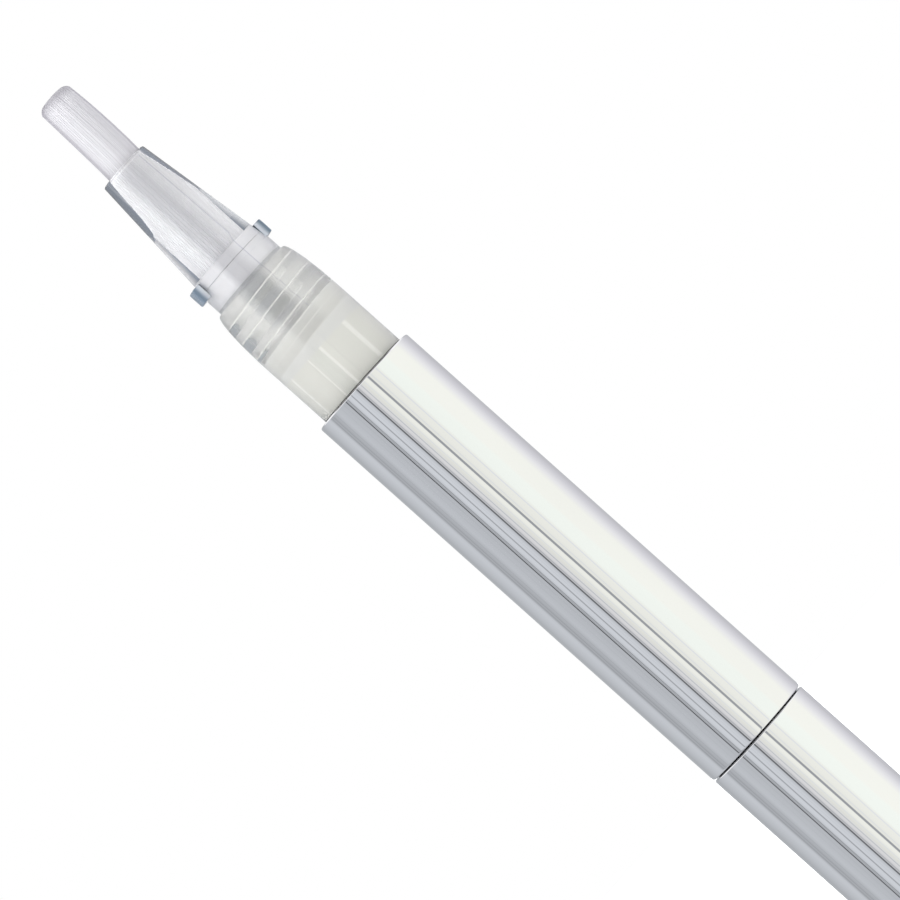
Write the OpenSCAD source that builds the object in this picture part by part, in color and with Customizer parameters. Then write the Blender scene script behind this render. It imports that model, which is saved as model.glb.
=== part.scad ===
// Twist-up nail oil pen with a bristle tip, standing upright on its flat tail.
// All sizes are in millimetres. The origin is the centre of the tail face,
// and +Z runs along the pen's axis to the end of the bristles.

/* [Barrel] */
// Outer diameter of the barrel shell and the knob shell
barrel_d = 12; // [11.6:0.1:14]
// Length of the barrel shell, from the seam to the front rim
barrel_len = 49.3; // [47:0.1:58]
// Wall of the barrel shell and of the knob shell
shell_wall = 0.55; // [0.45:0.01:0.65]
// Rounding of the barrel shell's front rim and of the edges at the seam
rim_round = 0.12; // [0.05:0.01:0.2]

/* [Knob] */
// Length of the knob shell, from the tail face to the seam
knob_len = 30; // [28:0.1:36]
// Gap between the knob shell and the barrel shell
seam_gap = 0.12; // [0.1:0.01:0.3]
// Thickness of the knob shell's closed end
tail_wall = 1.2; // [0.8:0.1:2]
// Rounding of the tail's edge
tail_round = 0.8; // [0.4:0.1:1.2]
// Thickness of the disc that closes the knob's front
disc_t = 1.6; // [1.2:0.1:2.2]
// Number of fins that centre the drive tube in the knob shell
fin_count = 4; // [3:1:6]
// Thickness of one fin
fin_t = 0.9; // [0.6:0.1:1.2]

/* [Collar] */
// Length of the collar that shows ahead of the barrel's rim
collar_len = 14.05; // [12.5:0.05:16]
// How far the collar lies inside the barrel's outer surface
collar_step = 0.82; // [0.75:0.01:0.95]
// Wall of the collar
collar_wall = 0.96; // [0.85:0.01:1.05]
// Length of the collar that is pressed into the barrel shell
collar_seat = 4.5; // [3.5:0.1:5.5]
// Depth below the rim at which the collar narrows
rim_recess = 0.4; // [0.2:0.05:0.8]
// Depth of the relief groove round the collar below the rim
rim_relief = 0.3; // [0.25:0.01:0.4]
// Length of the collar's rounded nose
nose_len = 6.55; // [5:0.05:8]
// How far the nose draws in at the front
nose_drop = 0.75; // [0.4:0.01:0.8]

/* [Nozzle] */
// Length of the plain base that shows ahead of the collar
base_len = 1.8; // [1.2:0.05:2]
// Length of the tapered cone, from the base to the mouth
cone_len = 14.3; // [13.5:0.05:17]
// Wall of the cone at the mouth
mouth_wall = 0.48; // [0.4:0.01:0.6]
// Step from the base in to the cone
base_step = 0.1; // [0.05:0.01:0.2]
// Rounding of the mouth's outer edge
mouth_round = 0.16; // [0.08:0.01:0.25]
// How far a lug stands out of the plain base
lug_h = 0.61; // [0.4:0.01:0.9]
// Width of a lug across the axis
lug_w = 2.1; // [1.5:0.1:2.6]
// Length of a lug along the axis
lug_len = 1.65; // [1.3:0.05:2]
// Turn of the pair of lugs about the axis, in degrees
lug_turn = 16; // [0:1:45]
// Length of the nozzle's shank inside the collar
shank_len = 9; // [8.4:0.05:9.6]
// Depth of the grooves round the shank
groove_depth = 0.35; // [0.2:0.01:0.45]
// Wall of the socket behind the shoulder, which holds the brush's root
socket_wall = 0.8; // [0.7:0.01:1.2]
// Distance from the mouth back to the shoulder in the bore
shoulder_depth = 11.6; // [10.8:0.05:12.2]
// Length of the sloped shoulder
shoulder_len = 0.9; // [0.6:0.05:1.1]

/* [Brush] */
// Diameter of the tuft at its root
tuft_d = 4.36; // [4:0.02:4.6]
// Length of bristle that stands out of the mouth
brush_out = 9.4; // [8:0.1:11]
// How much shorter the outermost bristles are than the innermost
tuft_crown = 0.7; // [0.2:0.05:1.2]
// Thickness of one bristle at its root, as a share of the space between rings
strand_share = 0.68; // [0.5:0.01:0.75]
// Number of rings of bristles
tuft_rings = 9; // [8:1:10]
// Number of bristles in the innermost ring
inner_strands = 18; // [16:1:20]
// Number of bristles that each ring has more than the ring inside it
added_strands = 6; // [4:1:6]
// Room between the feed tube and the middles of the innermost bristles
feed_room = 0.175; // [0.15:0.005:0.25]
// Thickness of the fused root of the tuft
root_t = 1.1; // [0.8:0.05:1.4]
// Outer diameter of the feed tube
feed_d = 0.8; // [0.7:0.01:0.84]
// Bore of the feed tube
feed_bore = 0.45; // [0.35:0.01:0.5]
// Length of the joint that carries the feed tube in the nozzle
joint_len = 10; // [9:0.1:10.6]
// How far the feed tube's end lies behind the bristles' end
feed_short = 5.5; // [4:0.1:8]

/* [Reservoir] */
// Wall of the reservoir tube
reservoir_wall = 0.92; // [0.8:0.01:1.1]
// Length of the sloped shoulder at the reservoir's front, on its axis
reservoir_slope = 2.3; // [2:0.1:3]
// Wall of the reservoir's neck
neck_wall = 1.25; // [1:0.05:1.5]
// Number of lengthwise ribs round the neck
neck_ribs = 18; // [12:1:20]
// Turn of the neck's ribs about the axis, in degrees
neck_rib_turn = 4; // [0:1:10]
// Height of the neck's ribs
neck_rib_h = 0.3; // [0.2:0.01:0.4]
// Width of the neck's ribs
neck_rib_w = 0.5; // [0.4:0.05:0.7]
// Thickness of the seal between the neck and the nozzle
seal_t = 0.75; // [0.6:0.05:1]
// Length of the bearing lip at the reservoir's rear end
lip_len = 1.2; // [0.9:0.05:1.6]
// How far the reservoir's rear end lies inside the barrel shell
rear_recess = 0.2; // [0.15:0.01:0.4]

/* [Twist feed] */
// Outer radius of the drive tube, as a share of the radius of the bore round it
drive_share = 0.56; // [0.54:0.01:0.6]
// Outer radius of the lead screw's thread, as a share of the drive tube's radius
screw_share = 0.72; // [0.68:0.01:0.76]
// Depth of the thread
thread_depth = 0.45; // [0.35:0.01:0.5]
// Rise of the thread in one turn
thread_pitch = 2.5; // [2.2:0.1:3]
// Depth of each of the screw's two flats
flat_cut = 0.45; // [0.35:0.01:0.5]
// Length of the nut that is fixed in the barrel
nut_len = 3.5; // [3:0.1:4]
// Room behind the lead screw in the closed tail
rear_room = 0.95; // [0.5:0.05:1.5]
// Thickness of the drive tube's thrust flange
flange_t = 0.9; // [0.7:0.05:1.1]
// Number of teeth in the ratchet ring
ratchet_teeth = 16; // [12:2:20]
// Length of the ratchet ring
ratchet_len = 2.2; // [1.9:0.05:2.6]
// Radial height of the ratchet teeth
tooth_h = 0.3; // [0.2:0.01:0.35]
// Wall of the ratchet ring behind its teeth
ratchet_wall = 0.4; // [0.35:0.01:0.45]
// Thickness of a spring arm on the click pawl
pawl_arm_t = 0.28; // [0.22:0.01:0.32]
// Wall of the click pawl's hub
pawl_hub_wall = 0.36; // [0.3:0.01:0.4]
// Number of spring arms on the click pawl
pawl_arms = 2; // [2:1:3]
// Length of the piston between the outer faces of its two lips
piston_len = 5.6; // [5:0.1:6]

/* [Fits] */
// Gap between two pieces that are pressed or glued together
fit_gap = 0.03; // [0.02:0.005:0.04]
// Gap round a shaft that turns or slides in its bore
run_gap = 0.06; // [0.04:0.005:0.08]
// Gap along the axis between pieces that turn against each other
end_gap = 0.2; // [0.15:0.01:0.25]
// Gap between the thread of the screw and the thread of the nut
thread_gap = 0.18; // [0.16:0.01:0.2]

/* [Hidden] */
$fn = 64;
// One overrun serves all cuts
over = 0.5;

// Outer shells
barrel_r = barrel_d / 2;
shell_bore_r = barrel_r - shell_wall;
seam_z = knob_len + seam_gap;
rim_z = seam_z + barrel_len;
arc_steps = 8;

// Collar
collar_r = barrel_r - collar_step;
collar_bore_r = collar_r - collar_wall;
collar_rear_z = rim_z - collar_seat;
collar_front_z = rim_z + collar_len;

// Nozzle
base_r = collar_bore_r - fit_gap;
shank_r = base_r - groove_depth;
shank_rear_z = collar_front_z - shank_len;
base_front_z = collar_front_z + base_len;
cone_rear_r = base_r - base_step;
tuft_root_r = tuft_d / 2;
nozzle_bore_r = tuft_root_r + run_gap;
mouth_r = nozzle_bore_r + mouth_wall;
socket_r = base_r - socket_wall;
lug_reach = base_r + lug_h;
mouth_z = base_front_z + cone_len;
shoulder_z = mouth_z - shoulder_depth;
// Where the shank's raised bands start and end, as shares of its length from the front
band_start_shares = [0, 0.24, 0.47, 0.6, 0.7, 0.8, 0.92];
band_end_shares = [0.145, 0.35, 0.56, 0.66, 0.76, 0.87, 1];

// Brush
// The tuft narrows by this share from its root to its end
tuft_taper_share = 0.1;
root_r = socket_r - fit_gap;
root_front_z = shoulder_z - shoulder_len - fit_gap;
root_z = root_front_z - root_t;
tuft_end_z = mouth_z + brush_out;
tuft_len = tuft_end_z - root_z;
feed_r = feed_d / 2;
tuft_inner_r = feed_r + feed_room;
strand_pitch = (tuft_root_r - tuft_inner_r) / (tuft_rings - 1 + strand_share / 2);
strand_d = strand_pitch * strand_share;
strand_sides = 4;
feed_front_z = tuft_end_z - feed_short;

// Joint that carries the feed tube in the nozzle
joint_r = socket_r - fit_gap;
joint_front_z = root_z - fit_gap;
joint_rear_z = joint_front_z - joint_len;
joint_bore_share = 0.45;
joint_bore_r = joint_r * joint_bore_share;
feed_hold_share = 0.35;
feed_rear_z = joint_front_z - joint_len * feed_hold_share;

// Reservoir
reservoir_r = shell_bore_r - fit_gap;
bore_r = reservoir_r - reservoir_wall;
reservoir_rear_z = seam_z + rear_recess;
bore_end_z = collar_rear_z - reservoir_slope;
neck_front_z = shank_rear_z - seal_t;
neck_rib_r = collar_bore_r - fit_gap;
neck_r = neck_rib_r - neck_rib_h;
neck_bore_r = neck_r - neck_wall;
slope_len = bore_r - neck_bore_r;
seal_r = neck_r;
seal_bore_r = neck_bore_r + seal_t / 2;

// Stack of the twist feed, from the lip forwards
lip_top_z = reservoir_rear_z + lip_len;
ratchet_top_z = lip_top_z + ratchet_len;
flange_z = ratchet_top_z + end_gap;
drive_top_z = flange_z + flange_t;
nut_z = drive_top_z + end_gap;
nut_top_z = nut_z + nut_len;
piston_z = nut_top_z + 2 * end_gap;

// Drive tube's and lead screw's radii
drive_r = bore_r * drive_share;
screw_r = drive_r * screw_share;
screw_mean_r = screw_r - thread_depth / 2;
screw_flat = screw_r - flat_cut;

// Lead screw
screw_rear_z = tail_wall + rear_room;
screw_top_z = piston_z + end_gap;
thread_sides = 16;
thread_rows = 6;
// Crests and roots of the thread are cut flat beyond this share of a plain wave
thread_wave_share = 1.5;
// Keeps a radius finite where a flat runs along the line of sight
least_share = 0.001;
head_neck_r = screw_mean_r - thread_depth;
head_r = screw_r;
head_neck_len = flange_t;
head_len = flange_t + end_gap;
head_z = screw_top_z + head_neck_len;

// Drive tube
drive_slide_r = screw_r + 2 * run_gap;
drive_flat = screw_flat + 2 * run_gap;
drive_round_r = screw_r + 3 * run_gap;
flange_r = bore_r - end_gap;
flatted_z = knob_len - disc_t / 2;

// Ratchet
ratchet_r = bore_r - fit_gap;
tooth_root_r = ratchet_r - ratchet_wall;
tooth_tip_r = tooth_root_r - tooth_h;
tooth_steep_share = 0.08;
pawl_hub_r = drive_r + fit_gap;
pawl_arm_r = tooth_tip_r - 2 * run_gap;
pawl_hub_outer_r = pawl_hub_r + pawl_hub_wall;
pawl_post_r = (pawl_hub_r + pawl_hub_outer_r) / 2;
pawl_tip_r = tooth_root_r - tooth_h / 3;
// Angles of a spring arm: its whole sweep, and the ramp of its tip and width of its post
pawl_sweep = 84;
pawl_ramp = 12;
pawl_z = lip_top_z + end_gap;
pawl_len = ratchet_len - 2 * end_gap;

// Piston
lip_r = bore_r - run_gap;
lip_t = flange_t;
waist_r = bore_r - reservoir_wall;
piston_nose = piston_len / 4;
nose_r = bore_r / 2;
socket_gap = 2 * run_gap;

function arc_points(centre_r, centre_z, radius, from, to) = [
    for (i = [0 : arc_steps])
        let (a = from + (to - from) * i / arc_steps)
            [centre_r + radius * cos(a), centre_z + radius * sin(a)]
];

// Radius of a right-hand thread at one angle and height
function thread_radius(a, z, mean, depth) =
    mean + depth / 2 * max(-1, min(1, thread_wave_share * cos(360 * z / thread_pitch - a)));

// Radius at which a flat at the given distance from the axis limits a round section
function flat_radius(a, flat) = flat / max(abs(cos(a)), least_share);

// A threaded rod: rings of points from low to high, closed by a fan at each end
module threaded_rod(low, high, mean, depth, flat) {
    rows = ceil((high - low) / thread_pitch * thread_rows);
    ring_points = [
        for (row = [0 : rows])
            for (side = [0 : thread_sides - 1])
                let (
                    z = low + (high - low) * row / rows,
                    a = 360 * side / thread_sides,
                    r = min(thread_radius(a, z, mean, depth), flat_radius(a, flat))
                )
                    [r * cos(a), r * sin(a), z]
    ];
    walls = [
        for (row = [0 : rows - 1])
            for (side = [0 : thread_sides - 1])
                let (
                    next = (side + 1) % thread_sides,
                    a = row * thread_sides + side,
                    b = row * thread_sides + next,
                    c = b + thread_sides,
                    d = a + thread_sides
                )
                    each [[a, d, b], [b, d, c]]
    ];
    last = rows * thread_sides;
    bottom = [for (side = [0 : thread_sides - 1]) side];
    top = [for (side = [0 : thread_sides - 1]) last + thread_sides - 1 - side];
    polyhedron(points = ring_points, faces = concat(walls, [bottom], [top]), convexity = 10);
}

// Polished outer sleeve of the barrel
module barrel_shell() {
    color("gainsboro")
    rotate_extrude()
    polygon(concat(
        [[shell_bore_r, seam_z]],
        arc_points(barrel_r - rim_round, seam_z + rim_round, rim_round, -90, 0),
        arc_points(barrel_r - rim_round, rim_z - rim_round, rim_round, 0, 90),
        [[shell_bore_r, rim_z]]
    ));
}

// Polished outer sleeve of the knob, closed at the tail
module knob_shell() {
    color("silver")
    rotate_extrude()
    polygon(concat(
        [[0, 0]],
        arc_points(barrel_r - tail_round, tail_round, tail_round, -90, 0),
        arc_points(barrel_r - rim_round, knob_len - rim_round, rim_round, 0, 90),
        [[shell_bore_r, knob_len], [shell_bore_r, tail_wall], [0, tail_wall]]
    ));
}

// Translucent neck ring that the cap would push onto
module collar() {
    nose_z = collar_front_z - nose_len;
    color("honeydew")
    rotate_extrude()
    polygon(concat(
        [
            [collar_bore_r, collar_rear_z],
            [shell_bore_r - fit_gap, collar_rear_z],
            [shell_bore_r - fit_gap, rim_z - rim_recess],
            [collar_r - rim_relief, rim_z - rim_recess],
            [collar_r - rim_relief, rim_z],
            [collar_r, rim_z]
        ],
        [
            for (i = [0 : arc_steps])
                let (a = 90 * i / arc_steps)
                    [collar_r - nose_drop * (1 - cos(a)), nose_z + nose_len * sin(a)]
        ],
        [[collar_bore_r, collar_front_z]]
    ));
}

// One lug of the nozzle, standing out along +X, rooted in the base and cut back by the bore
module lug() {
    translate([0, -lug_w / 2, base_front_z - base_step])
    cube([lug_reach, lug_w, lug_len + base_step]);
}

// Clear nozzle: ribbed shank, plain base, two lugs and a long cone
module nozzle() {
    color("lavender")
    difference() {
        union() {
            rotate_extrude()
            polygon(concat(
                [[0, shank_rear_z], [shank_r, shank_rear_z], [shank_r, base_front_z]],
                [[cone_rear_r, base_front_z]],
                arc_points(mouth_r - mouth_round, mouth_z - mouth_round, mouth_round, 0, 90),
                [[0, mouth_z]]
            ));
            for (i = [0 : len(band_start_shares) - 1])
                let (
                    high = collar_front_z - shank_len * band_start_shares[i],
                    low = collar_front_z - shank_len * band_end_shares[i]
                )
                    translate([0, 0, low])
                    cylinder(r = base_r, h = high - low);
            translate([0, 0, collar_front_z])
            cylinder(r = base_r, h = base_len);
            for (side = [0, 180])
                rotate([0, 0, lug_turn + side])
                lug();
        }
        rotate_extrude()
        polygon([
            [0, shank_rear_z - over],
            [socket_r, shank_rear_z - over],
            [socket_r, shoulder_z - shoulder_len],
            [nozzle_bore_r, shoulder_z],
            [nozzle_bore_r, mouth_z + over],
            [0, mouth_z + over]
        ]);
    }
}

// Tuft of bristles on its fused root; the outer rings are cut shorter
module bristles() {
    color("ghostwhite")
    translate([0, 0, root_z])
    resize([2 * root_r, 2 * root_r, tuft_len])
    union() {
        difference() {
            cylinder(r = root_r, h = root_t);
            translate([0, 0, -over])
            cylinder(r = feed_r + fit_gap, h = root_t + 2 * over, $fn = 16);
        }
        for (ring = [0 : tuft_rings - 1])
            let (
                outward_share = ring / (tuft_rings - 1),
                height = tuft_len - tuft_crown * pow(outward_share, 2),
                strands = inner_strands + ring * added_strands
            )
                linear_extrude(height = height, scale = 1 - tuft_taper_share * height / tuft_len)
                for (i = [0 : strands - 1])
                    rotate(360 * i / strands)
                    translate([tuft_inner_r + ring * strand_pitch, 0])
                    circle(d = strand_d, $fn = strand_sides);
    }
}

// Thin tube that leads the oil into the middle of the tuft
module feed_tube() {
    color("azure")
    translate([0, 0, feed_rear_z])
    difference() {
        cylinder(d = feed_d, h = feed_front_z - feed_rear_z);
        translate([0, 0, -over])
        cylinder(d = feed_bore, h = feed_front_z - feed_rear_z + 2 * over);
    }
}

// Plug in the nozzle's socket that holds the feed tube and the tuft's root
module tube_joint() {
    color("aliceblue")
    rotate_extrude()
    polygon([
        [joint_bore_r, joint_rear_z],
        [joint_r, joint_rear_z],
        [joint_r, joint_front_z],
        [feed_r + fit_gap, joint_front_z],
        [feed_r + fit_gap, feed_rear_z],
        [feed_bore / 2, feed_rear_z],
        [feed_bore / 2, feed_rear_z - feed_d],
        [joint_bore_r, feed_rear_z - feed_d - joint_bore_r]
    ]);
}

// Soft ring between the reservoir's neck and the nozzle's shank
module neck_seal() {
    color("white")
    translate([0, 0, neck_front_z])
    difference() {
        cylinder(r = seal_r, h = seal_t);
        translate([0, 0, -over])
        cylinder(r = seal_bore_r, h = seal_t + 2 * over);
    }
}

// Inner barrel: bearing lip, oil bore, sloped shoulder and ribbed neck
module reservoir() {
    color("whitesmoke")
    union() {
        rotate_extrude()
        polygon([
            [drive_r + run_gap, reservoir_rear_z],
            [reservoir_r, reservoir_rear_z],
            [reservoir_r, collar_rear_z],
            [neck_r, collar_rear_z],
            [neck_r, neck_front_z],
            [neck_bore_r, neck_front_z],
            [neck_bore_r, bore_end_z + slope_len],
            [bore_r, bore_end_z],
            [bore_r, lip_top_z],
            [drive_r + run_gap, lip_top_z]
        ]);
        for (i = [0 : neck_ribs - 1])
            rotate([0, 0, 360 * i / neck_ribs + neck_rib_turn])
            translate([neck_r - neck_rib_h, -neck_rib_w / 2, collar_rear_z])
            cube([2 * neck_rib_h - fit_gap, neck_rib_w, neck_front_z - collar_rear_z]);
    }
}

// Piston with a lip at each end and a socket for the screw's head
module piston() {
    socket_z = head_z - end_gap;
    socket_top_z = head_z + head_len + end_gap;
    color("white")
    rotate_extrude()
    polygon([
        [head_neck_r + socket_gap, piston_z],
        [lip_r, piston_z],
        [lip_r, piston_z + lip_t],
        [waist_r, piston_z + lip_t + end_gap],
        [waist_r, piston_z + piston_len - lip_t - end_gap],
        [lip_r, piston_z + piston_len - lip_t],
        [lip_r, piston_z + piston_len],
        [waist_r, piston_z + piston_len],
        [nose_r, piston_z + piston_len + piston_nose],
        [0, piston_z + piston_len + piston_nose],
        [0, socket_top_z],
        [head_r + socket_gap, socket_top_z],
        [head_r + socket_gap, socket_z],
        [head_neck_r + socket_gap, socket_z]
    ]);
}

// Lead screw: coarse thread with two flats, and a head that turns in the piston
module lead_screw() {
    color("mintcream")
    union() {
        threaded_rod(screw_rear_z, nut_top_z + end_gap, screw_mean_r, thread_depth, screw_flat);
        translate([0, 0, nut_top_z])
        cylinder(r = head_neck_r, h = head_z - nut_top_z);
        translate([0, 0, head_z])
        cylinder(r = head_r, h = head_len);
    }
}

// Nut fixed in the reservoir tube, with a moulded pocket round its threaded boss
module screw_nut() {
    pocket_bore_r = screw_r + thread_gap + ratchet_wall;
    pocket_r = ratchet_r - ratchet_wall;
    color("lightsteelblue")
    difference() {
        translate([0, 0, nut_z])
        cylinder(r = ratchet_r, h = nut_len);
        rotate_extrude()
        polygon([
            [pocket_bore_r, nut_z + nut_len / 3],
            [pocket_r, nut_z + nut_len / 3],
            [pocket_r, nut_top_z + over],
            [pocket_bore_r, nut_top_z + over]
        ]);
        threaded_rod(nut_z - over, nut_top_z + over, screw_mean_r + thread_gap, thread_depth, drive_r);
    }
}

// Ring of saw teeth fixed in the reservoir tube
module ratchet_ring() {
    step = 360 / ratchet_teeth;
    color("lightblue")
    translate([0, 0, lip_top_z])
    difference() {
        cylinder(r = ratchet_r, h = ratchet_len);
        translate([0, 0, -over])
        linear_extrude(height = ratchet_len + 2 * over)
        polygon([
            for (i = [0 : ratchet_teeth - 1])
                each [
                    [tooth_root_r * cos(i * step), tooth_root_r * sin(i * step)],
                    [
                        tooth_tip_r * cos((i + 1 - tooth_steep_share) * step),
                        tooth_tip_r * sin((i + 1 - tooth_steep_share) * step)
                    ]
                ]
        ]);
    }
}

// Points along an arc about the axis
function turn_points(radius, from, to) = [
    for (i = [0 : arc_steps])
        let (a = from + (to - from) * i / arc_steps)
            [radius * cos(a), radius * sin(a)]
];

// One spring arm: a tip that rides the teeth, a curved arm and a post on the hub
module pawl_arm() {
    linear_extrude(height = pawl_len)
    polygon(concat(
        [[pawl_tip_r, 0]],
        turn_points(pawl_arm_r, pawl_ramp, pawl_sweep),
        [
            [pawl_post_r * cos(pawl_sweep), pawl_post_r * sin(pawl_sweep)],
            [pawl_post_r * cos(pawl_sweep - pawl_ramp), pawl_post_r * sin(pawl_sweep - pawl_ramp)]
        ],
        turn_points(pawl_arm_r - pawl_arm_t, pawl_sweep - pawl_ramp, 0)
    ));
}

// Hub with trailing spring arms whose tips click over the saw teeth
module click_pawl() {
    // The tip stands just past a tooth's steep face
    tip_angle = 360 / ratchet_teeth * 2 * tooth_steep_share;
    color("khaki")
    translate([0, 0, pawl_z])
    union() {
        difference() {
            cylinder(r = pawl_hub_outer_r, h = pawl_len);
            translate([0, 0, -over])
            cylinder(r = pawl_hub_r, h = pawl_len + 2 * over);
        }
        for (arm = [0 : pawl_arms - 1])
            rotate([0, 0, 360 * arm / pawl_arms + tip_angle])
            pawl_arm();
    }
}

// Core of the knob: finned tube whose flatted bore turns the lead screw
module drive_tube() {
    core_r = shell_bore_r - fit_gap;
    color("powderblue")
    difference() {
        union() {
            translate([0, 0, tail_wall])
            cylinder(r = drive_r, h = drive_top_z - tail_wall);
            translate([0, 0, flange_z])
            cylinder(r = flange_r, h = flange_t);
            translate([0, 0, knob_len - disc_t])
            cylinder(r = core_r, h = disc_t);
            for (i = [0 : fin_count - 1])
                rotate([0, 0, 360 * i / fin_count])
                translate([0, -fin_t / 2, tail_wall])
                cube([core_r - fit_gap, fin_t, knob_len - disc_t - tail_wall]);
        }
        translate([0, 0, tail_wall - over])
        cylinder(r = drive_round_r, h = flatted_z - tail_wall + over);
        translate([0, 0, flatted_z - over])
        linear_extrude(height = drive_top_z - flatted_z + 2 * over)
        intersection() {
            circle(r = drive_slide_r);
            square([2 * drive_flat, 2 * drive_r], center = true);
        }
    }
}

barrel_shell();
knob_shell();
collar();
nozzle();
bristles();
feed_tube();
tube_joint();
neck_seal();
reservoir();
piston();
lead_screw();
screw_nut();
ratchet_ring();
click_pawl();
drive_tube();
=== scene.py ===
"""Dressed model of a twist-up nail oil pen with a bristle tip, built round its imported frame.

The pen stands upright on its tail. The camera looks at it nearly level and is rolled, so that
the bristles point to the upper left of the picture.
"""

import logging
import math
import random
from collections.abc import Callable
from dataclasses import dataclass, field
from enum import Enum

import bpy
from mathutils import Matrix, Vector


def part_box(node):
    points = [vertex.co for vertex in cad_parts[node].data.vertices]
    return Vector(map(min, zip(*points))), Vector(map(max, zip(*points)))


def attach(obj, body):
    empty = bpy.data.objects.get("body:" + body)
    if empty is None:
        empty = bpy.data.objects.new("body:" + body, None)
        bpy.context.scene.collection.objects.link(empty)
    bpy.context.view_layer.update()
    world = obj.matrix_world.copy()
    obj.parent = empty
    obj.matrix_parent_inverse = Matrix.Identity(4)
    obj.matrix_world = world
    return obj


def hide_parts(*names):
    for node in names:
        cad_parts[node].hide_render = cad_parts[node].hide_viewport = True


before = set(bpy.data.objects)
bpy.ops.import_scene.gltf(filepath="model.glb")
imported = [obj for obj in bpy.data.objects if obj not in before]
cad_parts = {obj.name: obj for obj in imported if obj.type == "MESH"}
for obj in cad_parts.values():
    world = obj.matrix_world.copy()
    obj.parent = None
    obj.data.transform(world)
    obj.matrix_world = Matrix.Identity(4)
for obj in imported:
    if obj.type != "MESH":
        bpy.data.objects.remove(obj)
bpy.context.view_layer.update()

LOG = logging.getLogger("nail_oil_pen")
MM = 0.001
NEAR = MM / 100
MERGE_WITHIN = MM / 1000
COLOUR_STOPS = (0.3, 0.7)
Outline = list[tuple[float, float]]
Colour = tuple[float, float, float]
Piece = bpy.types.Object
Material = bpy.types.Material
Tree = bpy.types.NodeTree
Node = bpy.types.Node
Socket = bpy.types.NodeSocket
Face = bpy.types.MeshPolygon


class Body(Enum):
    """The bodies that the new pieces ride on."""

    BARREL = "barrel"
    KNOB = "knob"


class Slot(Enum):
    """Names of material slots that are passed along with the new pieces."""

    SHELL = "polished_shell"
    MILKY = "milky_plastic"
    CLEAR = "clear_plastic"
    NYLON = "nylon_bristle"


@dataclass(frozen=True)
class Span:
    """Where a node of the frame lies along the pen, and its outer radius, in metres."""

    low: float
    high: float
    radius: float

    @classmethod
    def of(cls, node: str) -> "Span":
        """Measure one node of the frame."""
        low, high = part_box(node)
        return cls(low=low[2], high=high[2], radius=(high[1] - low[1]) / 2)

    @property
    def length(self) -> float:
        """Length along the pen."""
        return self.high - self.low


def node_span(node: str) -> Span:
    """Make a dataclass field that holds one node's span."""
    return field(default_factory=lambda: Span.of(node))


def only(piece: Piece) -> None:
    """Make one object the only selected and active one.

    Args:
        piece: The object.
    """
    bpy.ops.object.select_all(action="DESELECT")
    piece.select_set(True)
    bpy.context.view_layer.objects.active = piece


def arc(centre: tuple[float, float], radius: float, start: float, end: float, steps: int = 6) -> Outline:
    """Points along an arc, between two angles in degrees from the outward direction."""
    angles = [math.radians(start + (end - start) * step / steps) for step in range(steps + 1)]
    return [(centre[0] + radius * math.cos(a), centre[1] + radius * math.sin(a)) for a in angles]


def turned(name: str, outline: Outline, sides: int = 144, smooth_deg: float = 35.0) -> Piece:
    """Turn an outline about the pen's axis, ring by ring, as on a lathe.

    Args:
        name: Name of the piece.
        outline: Points of radius and height. A first or last radius of zero closes that end;
            otherwise the outline closes on itself.
        sides: Number of sides of each ring.
        smooth_deg: Edges sharper than this angle stay sharp.

    Returns:
        The new object.
    """
    starts_closed = outline[0][0] == 0
    ends_closed = outline[-1][0] == 0
    rings = outline[1:] if starts_closed else list(outline)
    if ends_closed:
        rings = rings[:-1]
    elif not starts_closed:
        rings.append(rings[0])
    bpy.ops.object.select_all(action="DESELECT")
    bpy.ops.mesh.primitive_circle_add(
        vertices=sides, radius=rings[0][0], fill_type="TRIFAN" if starts_closed else "NOTHING")
    piece = bpy.context.object
    piece.name = name
    piece.data.name = name
    bpy.ops.object.mode_set(mode="EDIT")
    bpy.ops.mesh.select_all(action="SELECT")
    bpy.ops.transform.translate(value=(0, 0, rings[0][1]))
    bpy.ops.mesh.select_mode(type="EDGE")
    if starts_closed:
        bpy.ops.mesh.select_all(action="DESELECT")
        bpy.ops.mesh.select_non_manifold(extend=False)
    for (radius, height), (next_radius, next_height) in zip(rings, rings[1:]):
        bpy.ops.mesh.extrude_region_move(
            TRANSFORM_OT_translate={"value": (0, 0, next_height - height)})
        ratio = next_radius / radius
        bpy.ops.transform.resize(value=(ratio, ratio, 1), center_override=(0, 0, next_height))
    if ends_closed:
        bpy.ops.mesh.extrude_region_move(
            TRANSFORM_OT_translate={"value": (0, 0, outline[-1][1] - rings[-1][1])})
        bpy.ops.mesh.merge(type="CENTER")
    bpy.ops.mesh.select_all(action="SELECT")
    bpy.ops.mesh.remove_doubles(threshold=MERGE_WITHIN)
    bpy.ops.mesh.normals_make_consistent(inside=False)
    bpy.ops.object.mode_set(mode="OBJECT")
    bpy.ops.object.shade_smooth_by_angle(angle=math.radians(smooth_deg))
    return piece


def block(name: str, low: Vector, high: Vector, bevel: float) -> Piece:
    """Model a block with bevelled edges.

    Args:
        name: Name of the piece.
        low: Lowest corner.
        high: Highest corner.
        bevel: Width of its bevels.

    Returns:
        The new object.
    """
    bpy.ops.object.select_all(action="DESELECT")
    bpy.ops.mesh.primitive_cube_add(size=1)
    piece = bpy.context.object
    piece.name = name
    bpy.ops.object.mode_set(mode="EDIT")
    bpy.ops.mesh.select_all(action="SELECT")
    bpy.ops.transform.resize(value=high - low)
    bpy.ops.transform.translate(value=(low + high) / 2)
    bpy.ops.object.mode_set(mode="OBJECT")
    rounding = piece.modifiers.new("rounding", "BEVEL")
    rounding.width = bevel
    rounding.segments = 3
    bpy.ops.object.modifier_apply(modifier=rounding.name)
    return piece


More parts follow.
